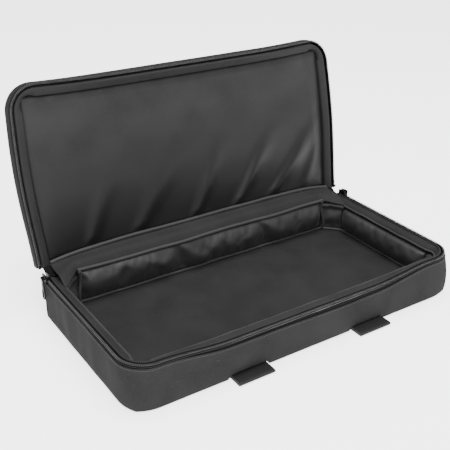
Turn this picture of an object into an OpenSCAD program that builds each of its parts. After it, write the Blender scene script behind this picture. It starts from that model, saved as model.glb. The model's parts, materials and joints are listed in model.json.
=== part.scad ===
// Soft padded carry case for a pedalboard: a shallow zipped tray with a hinged lid.
// Axes: +X to the right along the length, +Y from the front to the hinge, +Z up.
// Origin: the middle of the tray's underside. The lid stands open.

/* [Overall size] */
// Outer length of the case, left to right
case_l = 470; // [376:1:564]
// Outer depth of the case, front to back
case_d = 234; // [190:1:280]
// Height of the tray, from the underside to the zip
tray_h = 60; // [50:1:72]
// Height of the lid, from the zip to its outer panel
lid_h = 24; // [20:1:32]
// Plan radius of the two front corners
front_r = 34; // [28:1:40]
// Plan radius of the two corners at the hinge
back_r = 10; // [8:0.5:13]
// Angle that the lid stands open at, from closed
lid_open = 102; // [90:0.5:115]

/* [Fabric and padding] */
// Thickness of the coated nylon outside
shell_t = 1.2; // [0.8:0.1:1.5]
// Thickness of the foam left above the handle's recess
foam_over = 1.2; // [1:0.2:4]
// Thickness of the stiff board in the tray's base
board_t = 3; // [2:0.5:4]
// Distance of the board and its foam in from the outer face, which leaves the lower edge soft
board_in = 5; // [4:0.5:7]
// Thickness of the floor lining
floor_t = 2; // [1:0.2:3]
// Thickness of the foam in the tray's side and front walls
wall_foam_t = 8; // [6:0.5:10]
// Thickness of the padded lining on the side and front walls
wall_pad_t = 9.8; // [7:0.2:12]
// Thickness of the foam in the tray's back wall
back_foam_t = 6; // [4:0.5:8]
// Thickness of the padded lining on the back wall
back_pad_t = 8; // [6:0.5:10]
// Length of the cut across each back corner, covered by a gusset
corner_cut = 22.5; // [18:0.5:28]
// Width of the sewn bindings
binding_w = 2.4; // [1.6:0.2:3]

/* [Rim] */
// Inner edge of the padded rim, measured in from the outer face
rim_edge = 17; // [14:0.5:20]
// Height of the tray's padded rim
rim_h = 11; // [10:0.5:14]
// Inner edge of the lid's padded rim, measured in from the outer face
lid_rim_edge = 15; // [13:0.5:18]
// Depth of the lid's hollow, from its rim to its lining
lid_hollow = 8.8; // [7:0.2:11]
// Thickness of the padded lid lining
lid_pad_t = 4; // [3:0.5:6]
// Thickness of the lid's stiffener
lid_board_t = 2; // [1.5:0.5:3]

/* [Hinge] */
// Distance of the hinge line in from the back face
hinge_in = 6; // [5:0.5:8]
// Distance of the hinge line below the lid's rim
hinge_drop = 6.4; // [6:0.2:8]
// Radius of the rolled fabric that the lid turns on
hinge_r = 4.6; // [3.5:0.1:4.8]
// Gap between parts that turn past each other at the hinge
hinge_gap = 0.6; // [0.4:0.1:1]
// Width of the facing strip inside the lid, along the hinge
facing_w = 18; // [14:1:24]

/* [Zip] */
// Gap between the two halves of the open zip when the lid is shut
zip_gap = 2.4; // [2:0.1:3]
// Height of zip tape that shows above the outer wall
tape_show = 8; // [7:0.5:9.5]
// Thickness of the zip tape
tape_t = 0.8; // [0.6:0.1:1]
// Width of the coil across the tape
coil_w = 3; // [2.4:0.1:3.4]
// Height of each half of the coil
coil_h = 2.6; // [2.2:0.1:3]
// Length of a zip stop
stop_l = 3; // [2:0.5:4]

/* [Sliders] */
// Length of a slider body
slider_l = 13; // [11:0.5:15]
// Half of the height of a slider body
slider_half_h = 4.8; // [4.6:0.1:5.4]
// Thickness of a slider's plates
plate_t = 1.3; // [1:0.1:1.5]
// Clearance between a slider's plates and the coil
slide_gap = 0.2; // [0.15:0.05:0.3]
// Thickness of the divider between the two zip halves
divider_t = 1.4; // [1:0.1:1.6]
// Radius of the bar that holds the pull
bar_r = 0.8; // [0.6:0.1:1]
// Radial clearance of the pull on its bar
bar_gap = 0.1; // [0.05:0.05:0.1]
// Length of a pull, from its bar to its end
pull_l = 29; // [24:1:36]
// Width of a pull's loop
pull_w = 8.5; // [7:0.5:10]
// Thickness of a pull
pull_t = 1.4; // [1:0.1:2]

/* [Handles] */
// Distance between the middles of a handle's two straps
strap_span = 176; // [150:1:210]
// Width of the webbing
strap_w = 48; // [38:1:50]
// Thickness of the webbing
strap_t = 1.8; // [1.4:0.1:2.2]
// Distance that the folded webbing stands out in front of the tray
strap_out = 15.6; // [12:0.1:20]
// Length of a handle's loop, from its fold to its grip
loop_l = 95; // [80:1:105]
// Width of the grip, where the webbing is folded double
grip_w = 24; // [20:1:28]
// Gap between layers of folded webbing
strap_gap = 0.6; // [0.4:0.1:1]
// Distance of the lid handle's fold in from the lid's front edge
lid_fold_in = 10; // [8:1:14]
// Length of webbing sewn down at each end of a handle
sewn_l = 50; // [35:1:60]

/* [Hidden] */
$fn = 48;

// Colours of the finished pieces
nylon = "#3f4041";
lining_black = "#343536";
binding_black = "#4a4b4c";
webbing_black = "#2b2c2d";
foam_grey = "#6e6f70";
board_black = "#1d1e1f";
tape_black = "#262728";
coil_black = "#303132";
metal_black = "#17181a";

// Half of the outer length, and the y of the front and back faces
half_l = case_l / 2;
front_y = -case_d / 2;
back_y = case_d / 2;
// Smallest plan radius of an inner corner
least_r = 1;

// Layers of the tray's base, from the ground up
fold_r = (2 * strap_t + strap_gap) / 2;
recess_h = 2 * fold_r + strap_gap;
board_z = recess_h + shell_t + foam_over;
lining_z = board_z + board_t;
floor_z = lining_z + floor_t;

// Heights of the tray's rim
seam_z = tray_h - tape_show;
rim_z = tray_h - rim_h;

// Distances in from the outer face
pad_out = shell_t + wall_foam_t;
pad_in = pad_out + wall_pad_t;
back_pad_y = back_y - shell_t - back_foam_t;
back_face_y = back_pad_y - back_pad_t;

// The zip, its middle height and the space that a slider needs beside it
zip_z = tray_h + zip_gap / 2;
zip_in = shell_t + tape_t / 2;
groove_gap = 0.8;
plate_in = zip_in + coil_w / 2 + slide_gap;
rim_out = plate_in + plate_t + groove_gap;
side_back_y = back_y - back_r;
coil_end_y = side_back_y - slider_l + 5;

// The lid as it lies when shut
lid_z = tray_h + zip_gap;
lid_top = lid_z + lid_h;
lid_seam_z = lid_z + tape_show;
lid_back_y = back_y - 2 * hinge_in - hinge_gap;
lid_pad_z = lid_z + lid_hollow;
lid_foam_z = lid_pad_z + lid_pad_t;
lid_board_z = lid_top - shell_t - lid_board_t;
facing_y = lid_back_y - shell_t - facing_w;
facing_t = 2;

// The hinge line and the top of the back wall
hinge_y = back_y - hinge_in;
hinge_z = lid_z - hinge_drop;
back_wall_z = hinge_z - hinge_drop - hinge_gap;
hinge_half = half_l - front_r + 5;

// The handles' folds: the base one under the front edge, the lid one on top of the lid
base_fold_y = front_y - strap_out + fold_r;
base_fold_z = strap_gap + fold_r;
lid_fold_y = front_y + lid_fold_in;
lid_fold_z = lid_top + fold_r + strap_gap / 2;
fold_gap = 0.3;
recess_half = strap_span / 2 + strap_w / 2 + 3;
recess_back_y = base_fold_y + loop_l + 5;
outer_bend_r = 40;
inner_bend_r = 16;
grip_half = strap_span / 2 - strap_w / 2 - inner_bend_r;

// ---- Helpers ----

// Plan of the case, moved in from its faces; end_y sets where it ends at the back
module outline(inset, end_y = undef) {
    by = is_undef(end_y) ? back_y - inset : end_y;
    fr = front_r - inset;
    br = max(back_r - inset, least_r);
    hx = half_l - inset;
    fy = front_y + inset;
    translate([-hx, fy + fr]) square([2 * hx, by - br - fy - fr]);
    translate([-hx + fr, fy]) square([2 * (hx - fr), fr]);
    translate([-hx + br, by - br]) square([2 * (hx - br), br]);
    for (side = [-1, 1]) {
        translate([side * (hx - fr), fy + fr]) circle(fr);
        translate([side * (hx - br), by - br]) circle(br);
    }
}

// Band round three sides of the outline, between two distances in and as far back as end_y.
// plan_back is where the outline's own back edge lies
module band(near, far, low, high, end_y, plan_back = back_y) {
    translate([0, 0, low])
        linear_extrude(high - low)
            intersection() {
                difference() {
                    outline(near, plan_back - near);
                    outline(far, plan_back + front_r);
                }
                translate([-half_l, front_y]) square([case_l, end_y - front_y]);
            }
}

// Box given by its lowest and highest corners
module box(low, high) {
    translate(low) cube(high - low);
}

// Cylinder along X, as long as twice half_w, around the middle of x
module roll_x(radius, half_w) {
    rotate([0, 90, 0]) cylinder(h = 2 * half_w, r = radius, center = true);
}

// Turns lid pieces, drawn shut, about the hinge to where the lid stands open
module opened() {
    translate([0, hinge_y, hinge_z])
        rotate([-lid_open, 0, 0])
            translate([0, -hinge_y, -hinge_z])
                children();
}

// ---- Tray: outside ----

// Space under the base for the folded handle
module recess_plan(margin) {
    translate([-recess_half - margin, front_y + shell_t])
        square([2 * (recess_half + margin), recess_back_y + margin - front_y - shell_t]);
}

// Bottom fabric, pressed up into a shallow recess over the handle
module base_panel() {
    color(nylon)
        difference() {
            union() {
                linear_extrude(shell_t) outline(shell_t);
                linear_extrude(recess_h + shell_t) recess_plan(shell_t);
            }
            translate([0, 0, -1]) linear_extrude(recess_h + 1) recess_plan(0);
        }
}

// One strip of fabric round the left, the front and the right, notched over the webbing
module outer_wall() {
    notch = strap_w + 3;
    color(nylon)
        difference() {
            band(0, shell_t, 0, seam_z, side_back_y);
            for (side = [-1, 1])
                translate([side * strap_span / 2 - notch / 2, front_y - 1, -1])
                    cube([notch, shell_t + 2, recess_h + 1]);
        }
}

// Fabric across the back and round the two back corners. Its middle ends below the hinge's roll,
// and its corners end below the zip tape
module back_panel() {
    corner_x = half_l - back_r;
    color(nylon)
        difference() {
            linear_extrude(max(back_wall_z, rim_z))
                difference() {
                    outline(0);
                    outline(shell_t);
                    translate([-half_l, front_y]) square([case_l, side_back_y - front_y]);
                }
            box([-corner_x, side_back_y, back_wall_z], [corner_x, back_y + 1, tray_h]);
            for (x = [-half_l - 1, corner_x])
                box([x, side_back_y - 1, rim_z], [x + back_r + 1, back_y + 1, tray_h]);
        }
}

// ---- Tray: stiffening and padding ----

module base_foam() {
    color(foam_grey)
        difference() {
            translate([0, 0, shell_t]) linear_extrude(board_z - shell_t) outline(board_in);
            linear_extrude(recess_h + shell_t) recess_plan(shell_t);
        }
}

module base_board() {
    color(board_black)
        translate([0, 0, board_z]) linear_extrude(board_t) outline(board_in);
}

module wall_foam() {
    color(foam_grey) band(shell_t, pad_out, lining_z, rim_z, side_back_y);
}

module back_foam() {
    color(foam_grey)
        box([-half_l + back_r, back_pad_y, lining_z], [half_l - back_r, back_y - shell_t, back_wall_z]);
}

// ---- Tray: lining ----

module floor_lining() {
    color(lining_black)
        translate([0, 0, lining_z]) linear_extrude(floor_t) outline(pad_out, back_pad_y);
}

// Padded lining of one long side wall
module side_lining(side) {
    near = half_l - pad_in;
    far = half_l - pad_out;
    color(lining_black)
        box([min(side * near, side * far), front_y + front_r, floor_z],
            [max(side * near, side * far), back_face_y - corner_cut, rim_z]);
}

module front_lining() {
    color(lining_black) band(pad_out, pad_in, floor_z, rim_z, front_y + front_r);
}

module back_lining() {
    end_x = half_l - pad_in - corner_cut;
    color(lining_black)
        box([-end_x, back_face_y, floor_z], [end_x, back_pad_y, back_wall_z]);
}

// Upright panel across a back corner, between the back and side linings and up to the rim
module corner_gusset(side) {
    x0 = half_l - pad_in - corner_cut;
    x1 = half_l - pad_in;
    x2 = half_l - pad_out;
    y0 = back_face_y - corner_cut;
    color(lining_black)
        translate([0, 0, floor_z])
            linear_extrude(rim_z - floor_z)
                mirror([side < 0 ? 1 : 0, 0])
                    polygon([[x0, back_face_y], [x1, y0], [x2, y0], [x2, back_pad_y], [x0, back_pad_y]]);
}

// Floor inside the linings, with its back corners cut off, moved in by d
module floor_plan(d) {
    hx = half_l - pad_in - d;
    by = back_face_y - d;
    cut = corner_cut - d * (2 - sqrt(2));
    intersection() {
        outline(pad_in + d, by);
        polygon([
            [-hx, front_y], [hx, front_y], [hx, by - cut],
            [hx - cut, by], [-hx + cut, by], [-hx, by - cut]
        ]);
    }
}

// Sewn binding round the edge of the floor
module floor_binding() {
    color(binding_black)
        translate([0, 0, floor_z])
            linear_extrude(binding_w)
                difference() {
                    floor_plan(0);
                    floor_plan(binding_w);
                }
}

// Upright binding where the back lining meets a corner gusset
module corner_binding(side) {
    // The seam turns by 45 degrees here, so the round binding stands clear of both linings
    seam_x = half_l - pad_in - corner_cut - binding_w / 2 * (sqrt(2) - 1);
    color(binding_black)
        translate([side * seam_x, back_face_y - binding_w / 2, floor_z + binding_w])
            cylinder(h = back_wall_z - floor_z - binding_w, r = binding_w / 2);
}

// Binding along the top of the back lining
module back_binding() {
    end_x = half_l - pad_in - corner_cut;
    color(binding_black)
        box([-end_x, back_face_y, back_wall_z], [end_x, back_face_y + binding_w, back_wall_z + binding_w]);
}

// Padded rim round the top of the walls, inside the zip
module rim_facing() {
    color(nylon) band(rim_out, rim_edge, rim_z, tray_h, side_back_y);
}

// Binding under the inner edge of the rim
module rim_binding() {
    color(binding_black) band(rim_edge, rim_edge + binding_w / 2, rim_z, rim_z + binding_w, side_back_y);
}

// ---- Zip ----

module tray_zip_tape() {
    color(tape_black)
        band(zip_in - tape_t / 2, zip_in + tape_t / 2, rim_z, tray_h - coil_h, side_back_y);
}

module tray_zip_coil() {
    color(coil_black)
        band(zip_in - coil_w / 2, zip_in + coil_w / 2, tray_h - coil_h, tray_h, coil_end_y);
}

module lid_zip_tape() {
    color(tape_black)
        opened()
            band(zip_in - tape_t / 2, zip_in + tape_t / 2, lid_z + coil_h, lid_foam_z,
                 lid_back_y - shell_t, lid_back_y);
}

module lid_zip_coil() {
    color(coil_black)
        opened() band(zip_in - coil_w / 2, zip_in + coil_w / 2, lid_z, lid_z + coil_h, coil_end_y);
}

// Two metal clips that end one half of the zip, at the given lower height
module zip_stops(low) {
    color(metal_black)
        for (side = [-1, 1])
            translate([side * (half_l - zip_in) - coil_w / 2, coil_end_y, low])
                cube([coil_w, stop_l, coil_h]);
}

module tray_zip_stops() {
    zip_stops(tray_h - coil_h);
}

module lid_zip_stops() {
    opened() zip_stops(lid_z);
}

// ---- Hinge ----

// Rolled fabric on top of the back wall, which the lid turns on
module hinge_roll() {
    web_t = shell_t;
    color(nylon) {
        translate([0, hinge_y, hinge_z]) roll_x(hinge_r, hinge_half);
        box([-hinge_half, hinge_y - web_t / 2, back_wall_z],
            [hinge_half, hinge_y + web_t / 2, hinge_z - hinge_r / 2]);
    }
}

// Fabric from the lid's end down to the roll, in the plane of the hinge
module hinge_flap() {
    reach = hinge_r + hinge_gap / 2;
    half_t = shell_t / 2;
    y1 = lid_back_y - hinge_y;
    z1 = hinge_drop;
    far = norm([y1, z1]);
    along = [y1 / far, z1 / far];
    across = [-along[1], along[0]] * half_t;
    color(nylon)
        opened()
            translate([hinge_half, hinge_y, hinge_z])
                rotate([90, 0, -90])
                    linear_extrude(2 * hinge_half)
                        mirror([1, 0])
                            polygon([
                                along * reach + across, along * reach - across,
                                [y1, z1 + half_t], [y1, lid_seam_z - hinge_z],
                                [y1 - shell_t, lid_seam_z - hinge_z], [y1 - shell_t, z1]
                            ]);
}

// Strip of facing inside the lid, along the hinge
module hinge_facing() {
    color(nylon)
        opened()
            box([-half_l + lid_rim_edge, facing_y, lid_pad_z - facing_t],
                [half_l - lid_rim_edge, lid_back_y - shell_t, lid_pad_z]);
}

// Binding between the facing strip and the lid's lining
module hinge_binding() {
    color(binding_black)
        opened()
            box([-half_l + lid_rim_edge, facing_y - binding_w, lid_pad_z - binding_w],
                [half_l - lid_rim_edge, facing_y, lid_pad_z]);
}

// ---- Lid ----

module lid_panel() {
    color(nylon)
        opened()
            translate([0, 0, lid_top - shell_t]) linear_extrude(shell_t) outline(0, lid_back_y);
}

// One strip of fabric round the lid's two ends and free edge
module lid_wall() {
    color(nylon) opened() band(0, shell_t, lid_seam_z, lid_top - shell_t, lid_back_y - back_r);
}

// Fabric across the lid's hinge edge and round its two corners
module lid_spine() {
    color(nylon)
        opened()
            translate([0, 0, lid_seam_z])
                linear_extrude(lid_top - shell_t - lid_seam_z)
                    difference() {
                        outline(0, lid_back_y);
                        outline(shell_t, lid_back_y - shell_t);
                        translate([-half_l, front_y]) square([case_l, lid_back_y - back_r - front_y]);
                    }
}

module lid_board() {
    color(board_black)
        opened()
            translate([0, 0, lid_board_z]) linear_extrude(lid_board_t) outline(shell_t, lid_back_y - shell_t);
}

module lid_foam() {
    color(foam_grey)
        opened()
            translate([0, 0, lid_foam_z])
                linear_extrude(lid_board_z - lid_foam_z) outline(shell_t, lid_back_y - shell_t);
}

// Padded rim round the lid's two ends and free edge
module lid_rim_facing() {
    color(nylon)
        opened() band(rim_out, lid_rim_edge, lid_z, lid_foam_z, lid_back_y - shell_t, lid_back_y);
}

module lid_lining() {
    color(lining_black)
        opened()
            translate([0, 0, lid_pad_z])
                linear_extrude(lid_pad_t) outline(lid_rim_edge, lid_back_y - shell_t);
}

// ---- Sliders and pulls, drawn on the right and mirrored for the left ----

slider_y = side_back_y - slider_l / 2;
bar_out = plate_t + bar_gap + 2 * bar_r + 0.6;
knuckle_r = bar_r + bar_gap + 1;
knuckle_half = 2.3;
post_t = 1;

// Places a piece on one side, with its own origin on the outside of the coil at the zip's middle
module at_zip(side) {
    mirror([side < 0 ? 1 : 0, 0, 0])
        translate([half_l - zip_in + coil_w / 2 + slide_gap, slider_y, zip_z])
            children();
}

// Outline of a slider's plate: its narrow end points back along the closed zip
module plate_plan() {
    waist = 0.72;
    h = slider_half_h;
    l = slider_l / 2;
    polygon([[-l, -h], [-l, h], [0, h], [l, h * waist], [l, -h * waist], [0, -h]]);
}

module slider(side) {
    deep = coil_w + 2 * slide_gap;
    lip = coil_w / 2 - tape_t / 2 + slide_gap - 0.3;
    lip_t = 0.7;
    half_bar = knuckle_half + slide_gap + post_t;
    color(metal_black)
        at_zip(side) {
            // Outer and inner plates
            for (x = [0, -deep - plate_t])
                translate([x, 0, 0])
                    rotate([90, 0, 90]) linear_extrude(plate_t) plate_plan();
            // Divider at the open end
            box([-deep, -slider_l / 2, -divider_t / 2], [0, -slider_l / 2 + 4.5, divider_t / 2]);
            // Lips under the tray's half of the coil
            box([-lip, -slider_l / 2, -slider_half_h], [0, 0, -slider_half_h + lip_t]);
            box([-deep, -slider_l / 2, -slider_half_h], [-deep + lip, 0, -slider_half_h + lip_t]);
            // Bar for the pull, on two posts
            translate([bar_out, 0, 0])
                rotate([90, 0, 0]) cylinder(h = 2 * half_bar, r = bar_r, center = true);
            for (y = [-half_bar, half_bar - post_t])
                box([plate_t / 2, y, -bar_r], [bar_out, y + post_t, bar_r]);
        }
}

module slider_left() {
    slider(-1);
}

module slider_right() {
    slider(1);
}

// Pull that hangs from the bar: a knuckle, a stem and a loop with an oblong slot
module pull(side) {
    stem_w = pull_w * 0.62;
    loop_r = pull_w / 2;
    loop_z = -pull_l + loop_r;
    slot_r = pull_w * 0.21;
    slot_l = pull_l * 0.2;
    color(metal_black)
        at_zip(side)
            translate([bar_out, 0, 0])
                difference() {
                    union() {
                        rotate([90, 0, 0]) cylinder(h = 2 * knuckle_half, r = knuckle_r, center = true);
                        box([-pull_t / 2, -knuckle_half, -knuckle_r * 2], [pull_t / 2, knuckle_half, 0]);
                        translate([-pull_t / 2, 0, 0])
                            rotate([90, 0, 90])
                                linear_extrude(pull_t) {
                                    translate([-stem_w / 2, loop_z]) square([stem_w, -loop_z - knuckle_r]);
                                    translate([0, loop_z]) circle(loop_r);
                                    translate([0, loop_z + slot_l]) circle(loop_r);
                                    translate([-loop_r, loop_z]) square([pull_w, slot_l]);
                                }
                    }
                    rotate([90, 0, 0])
                        cylinder(h = 3 * knuckle_half, r = bar_r + bar_gap, center = true);
                    translate([-pull_t, 0, 0])
                        rotate([90, 0, 90])
                            linear_extrude(2 * pull_t) {
                                for (z = [loop_z, loop_z + slot_l])
                                    translate([0, z]) circle(slot_r);
                                translate([-slot_r, loop_z]) square([2 * slot_r, slot_l]);
                            }
                }
}

module pull_left() {
    pull(-1);
}

module pull_right() {
    pull(1);
}

// ---- Handles ----

// End of a strap, sewn flat and reaching as far as the fold
module strap_end(side, fold_y, low) {
    color(webbing_black)
        translate([side * strap_span / 2 - strap_w / 2, fold_y + fold_r + fold_gap, low])
            cube([strap_w, sewn_l, strap_t]);
}

module base_strap_left() {
    strap_end(-1, base_fold_y, recess_h - strap_t);
}

module base_strap_right() {
    strap_end(1, base_fold_y, recess_h - strap_t);
}

module lid_strap_left() {
    opened() strap_end(-1, lid_fold_y, lid_top);
}

module lid_strap_right() {
    opened() strap_end(1, lid_fold_y, lid_top);
}

// Rectangle from y = 0 to y = l whose two far corners are round
module rounded_end(half_w, l, r) {
    translate([-half_w, 0]) square([2 * half_w, l - r]);
    translate([-half_w + r, 0]) square([2 * (half_w - r), l]);
    for (side = [-1, 1])
        translate([side * (half_w - r), l - r]) circle(r);
}

// Loop of webbing that lies along +Y from its folds, with its face at z = 0
module loop() {
    half_out = strap_span / 2 + strap_w / 2;
    half_in = strap_span / 2 - strap_w / 2;
    translate([0, 0, -fold_r])
        linear_extrude(strap_t)
            difference() {
                rounded_end(half_out, loop_l, outer_bend_r);
                translate([0, -1]) rounded_end(half_in, loop_l - grip_w + 1, inner_bend_r);
            }
    // The grip is folded double
    box([-grip_half, loop_l - grip_w, strap_t - fold_r], [grip_half, loop_l, 2 * strap_t - fold_r]);
    for (side = [-1, 1])
        translate([side * strap_span / 2, 0, 0]) roll_x(fold_r, strap_w / 2);
}

module base_handle() {
    color(webbing_black) translate([0, base_fold_y, base_fold_z]) loop();
}

// The lid's loop hangs straight down behind the open lid
module lid_handle() {
    color(webbing_black)
        opened()
            translate([0, lid_fold_y, lid_fold_z])
                rotate([lid_open - 90, 0, 0])
                    mirror([0, 0, 1]) loop();
}

base_panel();
outer_wall();
back_panel();
base_foam();
base_board();
wall_foam();
back_foam();
floor_lining();
side_lining(-1);  // left_lining
front_lining();
side_lining(1);  // right_lining
back_lining();
corner_gusset(-1);  // corner_gusset_left
corner_gusset(1);  // corner_gusset_right
floor_binding();
corner_binding(-1);  // corner_binding_left
corner_binding(1);  // corner_binding_right
back_binding();
rim_facing();
rim_binding();
tray_zip_tape();
tray_zip_coil();
tray_zip_stops();
hinge_roll();
lid_panel();
lid_wall();
lid_spine();
lid_board();
lid_foam();
lid_rim_facing();
lid_lining();
hinge_facing();
hinge_binding();
hinge_flap();
lid_zip_tape();
lid_zip_coil();
lid_zip_stops();
slider_left();
slider_right();
pull_left();
pull_right();
base_strap_left();
base_strap_right();
base_handle();
lid_strap_left();
lid_strap_right();
lid_handle();
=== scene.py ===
import json
import math

import bmesh
import bpy
from mathutils import Matrix, Vector, noise


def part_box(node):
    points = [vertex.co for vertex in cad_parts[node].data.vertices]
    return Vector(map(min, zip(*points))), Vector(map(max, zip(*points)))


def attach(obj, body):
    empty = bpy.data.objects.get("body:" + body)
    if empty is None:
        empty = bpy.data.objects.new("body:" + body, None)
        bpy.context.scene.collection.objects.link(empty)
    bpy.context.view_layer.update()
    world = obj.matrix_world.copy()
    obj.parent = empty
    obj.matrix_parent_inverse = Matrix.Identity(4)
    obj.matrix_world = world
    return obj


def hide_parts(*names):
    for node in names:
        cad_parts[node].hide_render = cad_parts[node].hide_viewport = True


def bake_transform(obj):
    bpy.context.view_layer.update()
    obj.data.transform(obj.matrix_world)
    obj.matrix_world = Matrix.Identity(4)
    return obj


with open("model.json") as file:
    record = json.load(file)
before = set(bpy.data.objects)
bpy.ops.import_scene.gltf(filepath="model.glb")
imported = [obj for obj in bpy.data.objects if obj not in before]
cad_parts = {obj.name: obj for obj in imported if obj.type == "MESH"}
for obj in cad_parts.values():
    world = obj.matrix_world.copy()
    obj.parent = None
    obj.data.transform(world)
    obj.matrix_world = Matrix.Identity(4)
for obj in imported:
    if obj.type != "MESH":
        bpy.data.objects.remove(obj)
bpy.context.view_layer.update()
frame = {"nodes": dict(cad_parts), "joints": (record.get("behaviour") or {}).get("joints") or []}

MM = 0.001

# ---- Sizes and places, read from the frame ----

wall_low, wall_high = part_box("outer_wall")
half_l = wall_high.x
front_y = wall_low.y
side_back_y = wall_high.y
seam_z = wall_high.z
back_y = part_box("back_panel")[1].y
back_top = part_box("back_panel")[1].z
rim_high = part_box("rim_facing")[1]
rim_out = half_l - rim_high.x
rim_in = half_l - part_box("rim_binding")[1].x
tray_top = rim_high.z
floor_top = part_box("floor_lining")[1].z
pad_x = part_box("right_lining")[0].x
pad_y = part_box("back_lining")[0].y
pad_front_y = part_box("floor_binding")[0].y
cut_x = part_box("back_lining")[1].x
cut = pad_x - cut_x
coil_low, coil_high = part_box("tray_zip_coil")
coil_w = 3 * MM
coil_in = half_l - coil_high.x + coil_w / 2
coil_half_h = (coil_high.z - coil_low.z) / 2
strap_low, strap_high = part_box("base_strap_right")
strap_x = (strap_low.x + strap_high.x) / 2
strap_w = strap_high.x - strap_low.x
strap_t = strap_high.z - strap_low.z

FRONT_R = 34 * MM
BACK_R = 10 * MM
LID_HINGE_R = 7 * MM
CLOTH_T = 1.1 * MM
TAPE_T = 0.6 * MM
# Rounding where the walls turn under the case
LOWER_R = 3 * MM
# Radii of the fine, medium and heavy bindings
FINE_BINDING_R = 1.5 * MM
BINDING_R = 2.1 * MM
HEAVY_BINDING_R = 2.5 * MM
# One turn of the zip's coil, the turn's half width and half height, and the thread it is wound from
COIL_PITCH = 2.2 * MM
COIL_SIDE = 1.1 * MM
COIL_UP = 0.85 * MM
COIL_THREAD_R = 0.42 * MM
# How far the rims' inner corners are pushed out, which makes them sharper than the outer corners
RIM_PUSH = 5 * MM

# Top of the back wall's padding, which puffs up past its foam
pad_top = tray_top - 3.5 * MM

hinge = next(j for j in frame["joints"] if j["name"] == "lid_hinge")
hinge_at = Vector(hinge["pos_m"])
open_angle = math.radians(-hinge["range_deg"][0])
to_hinge = Matrix.Translation(hinge_at)
TO_SHUT = to_hinge @ Matrix.Rotation(open_angle, 4, "X") @ to_hinge.inverted()
TO_OPEN = TO_SHUT.inverted()


def shut_box(node):
    """Lowest and highest corner of a lid node with the lid shut"""
    corners = [TO_SHUT @ v.co for v in frame["nodes"][node].data.vertices]
    low = Vector([min(c[i] for c in corners) for i in range(3)])
    high = Vector([max(c[i] for c in corners) for i in range(3)])
    return low, high


lid_high = shut_box("lid_panel")[1]
lid_back_y = lid_high.y
lid_top = lid_high.z
lid_seam_z = shut_box("lid_wall")[0].z
lid_rim_low, lid_rim_high = shut_box("lid_rim_facing")
lid_z = lid_rim_low.z
lid_face_z = shut_box("lid_lining")[0].z
lid_rim_in = half_l - shut_box("lid_lining")[1].x


# ---- Curves and small helpers ----

def smooth(low, high, value):
    """0 below low, 1 above high, and a soft step between them"""
    t = min(max((value - low) / (high - low), 0), 1)
    return t * t * (3 - 2 * t)


def ripple(a, b, seed):
    """Soft random wave between -1 and 1"""
    return noise.noise(Vector((a, b, seed * 7.3)))


def through(points, t):
    """Point at t from 0 to 1 on a smooth curve through the points"""
    last = len(points) - 1
    index = min(int(t * last), last - 1)
    f = t * last - index
    before, start = points[max(index - 1, 0)], points[index]
    end, after = points[index + 1], points[min(index + 2, last)]
    slope_in, slope_out = (end - before) / 2, (after - start) / 2
    return (start * (2 * f**3 - 3 * f**2 + 1) + slope_in * (f**3 - 2 * f**2 + f)
            + end * (3 * f**2 - 2 * f**3) + slope_out * (f**3 - f**2))


class Track:
    """Path in plan through corners given as (x, y, radius), with its outside on the right"""

    def __init__(self, corners, closed=False):
        count = len(corners)
        spots = [Vector(c[:2]) for c in corners]
        order = range(count) if closed else range(1, count - 1)
        self.pieces = []
        previous = None if closed else spots[0]
        for i in order:
            way_in = (spots[i] - spots[i - 1]).normalized()
            way_out = (spots[(i + 1) % count] - spots[i]).normalized()
            turn = way_in.angle_signed(way_out)
            radius = corners[i][2]
            reach = radius * math.tan(abs(turn) / 2)
            start = spots[i] - way_in * reach
            if previous is not None:
                self.pieces.append((previous, start, None, 0))
            centre = start + Vector((-way_in.y, way_in.x)) * radius * (-1 if turn > 0 else 1)
            self.pieces.append((start, None, centre, -turn))
            previous = spots[i] + way_out * reach
        end = self.pieces[0][0] if closed else spots[-1]
        self.pieces.append((previous, end, None, 0))
        self.lengths = [
            (end - start).length if centre is None else (start - centre).length * abs(turn)
            for start, end, centre, turn in self.pieces
        ]
        self.length = sum(self.lengths)

    def at(self, u):
        """Place and outward direction at u, from 0 to 1"""
        left = min(max(u, 0), 1) * self.length
        for (start, end, centre, turn), length in zip(self.pieces, self.lengths):
            if left <= length + 1e-9:
                break
            left -= length
        f = left / length if length else 0
        if centre is None:
            way = (end - start).normalized()
            return start.lerp(end, f), Vector((way.y, -way.x))
        arm = Matrix.Rotation(turn * f, 2) @ (start - centre)
        return centre + arm, arm.normalized() * (1 if turn > 0 else -1)


def add_object(name, bm):
    """Smooth-shaded object in the scene, made from the bmesh"""
    mesh = bpy.data.meshes.new(name)
    bm.to_mesh(mesh)
    bm.free()
    for polygon in mesh.polygons:
        polygon.use_smooth = True
    piece = bpy.data.objects.new(name, mesh)
    bpy.context.scene.collection.objects.link(piece)
    return piece


def sheet(name, place, along, across, size, round_v=False, round_u=False, matrix=None):
    """Faces laid by place(u, v): u runs along the piece and v across it. size is (length, width)"""
    bm = bmesh.new()
    cloth = bm.loops.layers.uv.new("cloth")
    bmesh.ops.create_grid(bm, x_segments=along, y_segments=across, size=0.5)
    for face in bm.faces:
        for loop in face.loops:
            u, v = loop.vert.co.x + 0.5, loop.vert.co.y + 0.5
            loop[cloth].uv = (u * size[0], v * size[1])
    for vert in bm.verts:
        vert.co = place(vert.co.x + 0.5, vert.co.y + 0.5)
    if round_v or round_u:
        bmesh.ops.remove_doubles(bm, verts=bm.verts, dist=1e-6)
    if round_v and not round_u:
        bmesh.ops.edgeloop_fill(bm, edges=[e for e in bm.edges if e.is_boundary])
    if round_v:
        bmesh.ops.recalc_face_normals(bm, faces=bm.faces)
    if matrix is not None:
        bm.transform(matrix)
    return add_object(name, bm)


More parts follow.
